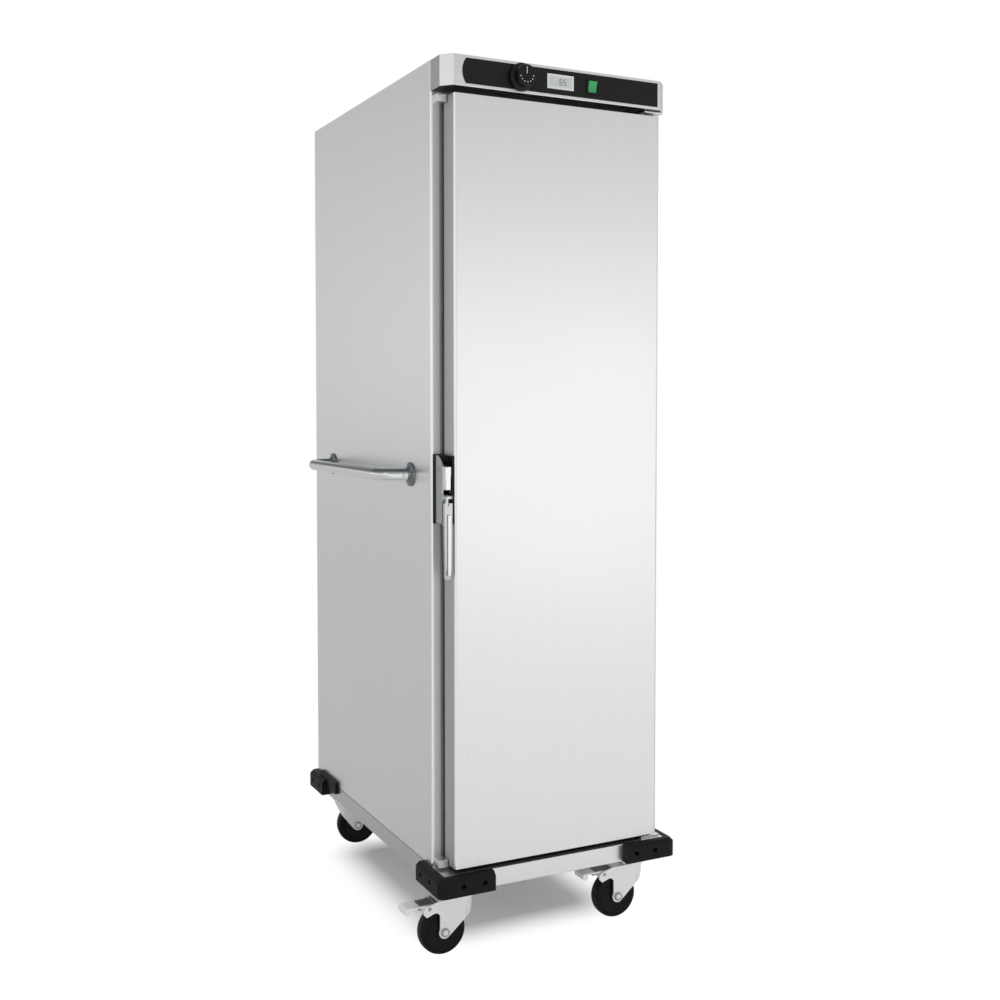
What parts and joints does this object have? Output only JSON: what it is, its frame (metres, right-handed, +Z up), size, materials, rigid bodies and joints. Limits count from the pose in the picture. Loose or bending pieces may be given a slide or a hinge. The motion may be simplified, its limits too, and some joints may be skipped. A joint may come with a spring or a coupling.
{
  "type": "heated banquet cart",
  "caption": "Tall insulated stainless warming cabinet on casters, with a hinged door, lever latch, tray runners, fan heater, side push handle, rubber corner bumpers and a control fascia.",
  "frame": {"origin": "on the floor, under the middle of the outer box", "axes": "+X to the right as the user faces the door, +Y to the back, +Z up"},
  "size_m": [0.6216, 0.8634, 1.819],
  "materials": {
    "stainless": "satin",
    "zinc_plated_steel": "satin",
    "chromed_steel": "polished",
    "black_rubber": "matte",
    "seal_rubber": "matte",
    "wheel_rubber": "satin",
    "black_plastic": "satin",
    "bush_nylon": "satin",
    "silver_plastic": "satin",
    "display_pane": "gloss",
    "green_lens": "gloss",
    "insulation": "matte"
  },
  "bodies": {
    "cabinet": {"chassis_frame": "stainless", "cabinet_insulation": "insulation", "bumper_front_left": "black_rubber", "bumper_front_right": "black_rubber", "bumper_rear_left": "black_rubber", "bumper_rear_right": "black_rubber", "bumper_screws": "zinc_plated_steel", "left_side_panel": "stainless", "right_side_panel": "stainless", "back_panel": "stainless", "roof_panel": "stainless", "front_frame": "stainless", "inner_liner": "stainless", "rack_uprights": "stainless", "tray_runners_left": "stainless", "tray_runners_right": "stainless", "control_fascia": "stainless", "control_overlay": "black_plastic", "thermostat_body": "black_plastic", "display_bezel": "silver_plastic", "display_window": "display_pane", "switch_housing": "black_plastic", "fan_motor": "zinc_plated_steel", "fan_baffle": "stainless", "heater_element": "chromed_steel", "power_inlet": "black_plastic", "hinge_bracket_top": "stainless", "hinge_bracket_bottom": "stainless", "hinge_pins": "stainless", "push_handle": "chromed_steel", "handle_flanges": "chromed_steel", "latch_strike": "black_plastic", "frame_stops": "stainless", "caster_plates": "zinc_plated_steel", "caster_bolts": "zinc_plated_steel", "caster_kingpins": "zinc_plated_steel"},
    "door": {"door_outer_skin": "stainless", "door_inner_panel": "stainless", "door_insulation": "insulation", "door_gasket": "seal_rubber", "door_hinge_bushes": "bush_nylon", "latch_spacer": "black_plastic", "latch_body": "chromed_steel", "latch_cover": "chromed_steel", "latch_pin": "chromed_steel"},
    "latch_lever": {"latch_lever": "chromed_steel", "latch_claw": "chromed_steel"},
    "thermostat_knob": {"thermostat_knob": "black_plastic"},
    "switch_rocker": {"switch_rocker": "green_lens"},
    "fan_rotor": {"fan_impeller": "zinc_plated_steel"},
    "swivel_front_left": {"caster_fork_front_left": "zinc_plated_steel"},
    "wheel_front_left": {"wheel_front_left": "wheel_rubber"},
    "pedal_front_left": {"brake_pedal_front_left": "zinc_plated_steel"},
    "swivel_front_right": {"caster_fork_front_right": "zinc_plated_steel"},
    "wheel_front_right": {"wheel_front_right": "wheel_rubber"},
    "pedal_front_right": {"brake_pedal_front_right": "zinc_plated_steel"},
    "swivel_rear_left": {"caster_fork_rear_left": "zinc_plated_steel"},
    "wheel_rear_left": {"wheel_rear_left": "wheel_rubber"},
    "swivel_rear_right": {"caster_fork_rear_right": "zinc_plated_steel"},
    "wheel_rear_right": {"wheel_rear_right": "wheel_rubber"}
  },
  "joints": [
    {"name": "door_swing", "type": "hinge", "parent": "cabinet", "child": "door", "pos_m": [0.26175, -0.3711, 0.966], "axis": [0, 0, 1], "range_deg": [0, 180]},
    {"name": "latch_lift", "type": "hinge", "parent": "door", "child": "latch_lever", "pos_m": [-0.2235, -0.38635, 0.942], "axis": [-1, 0, 0], "range_deg": [0, 50]},
    {"name": "thermostat_turn", "type": "hinge", "parent": "cabinet", "child": "thermostat_knob", "pos_m": [-0.06625, -0.40565, 1.788], "axis": [0, 1, 0], "range_deg": [0, 270]},
    {"name": "switch_rock", "type": "hinge", "parent": "cabinet", "child": "switch_rocker", "pos_m": [0.10075, -0.40185, 1.788], "axis": [-1, 0, 0], "range_deg": [0, 20]},
    {"name": "fan_spin", "type": "hinge", "parent": "cabinet", "child": "fan_rotor", "pos_m": [0.02775, 0.35265, 0.971], "axis": [0, 1, 0], "continuous": true},
    {"name": "swivel_front_left", "type": "hinge", "parent": "cabinet", "child": "swivel_front_left", "pos_m": [-0.17925, -0.35085, 0.125], "axis": [0, 0, 1], "continuous": true},
    {"name": "roll_front_left", "type": "hinge", "parent": "swivel_front_left", "child": "wheel_front_left", "pos_m": [-0.22325, -0.35085, 0.05], "axis": [0, 1, 0], "continuous": true},
    {"name": "brake_front_left", "type": "hinge", "parent": "swivel_front_left", "child": "pedal_front_left", "pos_m": [-0.25725, -0.35085, 0.104], "axis": [0, -1, 0], "range_deg": [0, 12]},
    {"name": "swivel_front_right", "type": "hinge", "parent": "cabinet", "child": "swivel_front_right", "pos_m": [0.23475, -0.35085, 0.125], "axis": [0, 0, 1], "continuous": true},
    {"name": "roll_front_right", "type": "hinge", "parent": "swivel_front_right", "child": "wheel_front_right", "pos_m": [0.19075, -0.35085, 0.05], "axis": [0, 1, 0], "continuous": true},
    {"name": "brake_front_right", "type": "hinge", "parent": "swivel_front_right", "child": "pedal_front_right", "pos_m": [0.15675, -0.35085, 0.104], "axis": [0, -1, 0], "range_deg": [0, 12]},
    {"name": "swivel_rear_left", "type": "hinge", "parent": "cabinet", "child": "swivel_rear_left", "pos_m": [-0.18925, 0.33765, 0.125], "axis": [0, 0, 1], "continuous": true},
    {"name": "roll_rear_left", "type": "hinge", "parent": "swivel_rear_left", "child": "wheel_rear_left", "pos_m": [-0.15971, 0.33244, 0.05], "axis": [-0.1736, -0.9848, 0], "continuous": true},
    {"name": "swivel_rear_right", "type": "hinge", "parent": "cabinet", "child": "swivel_rear_right", "pos_m": [0.24475, 0.33765, 0.125], "axis": [0, 0, 1], "continuous": true},
    {"name": "roll_rear_right", "type": "hinge", "parent": "swivel_rear_right", "child": "wheel_rear_right", "pos_m": [0.24475, 0.30765, 0.05], "axis": [-1, 0, 0], "continuous": true}
  ]
}
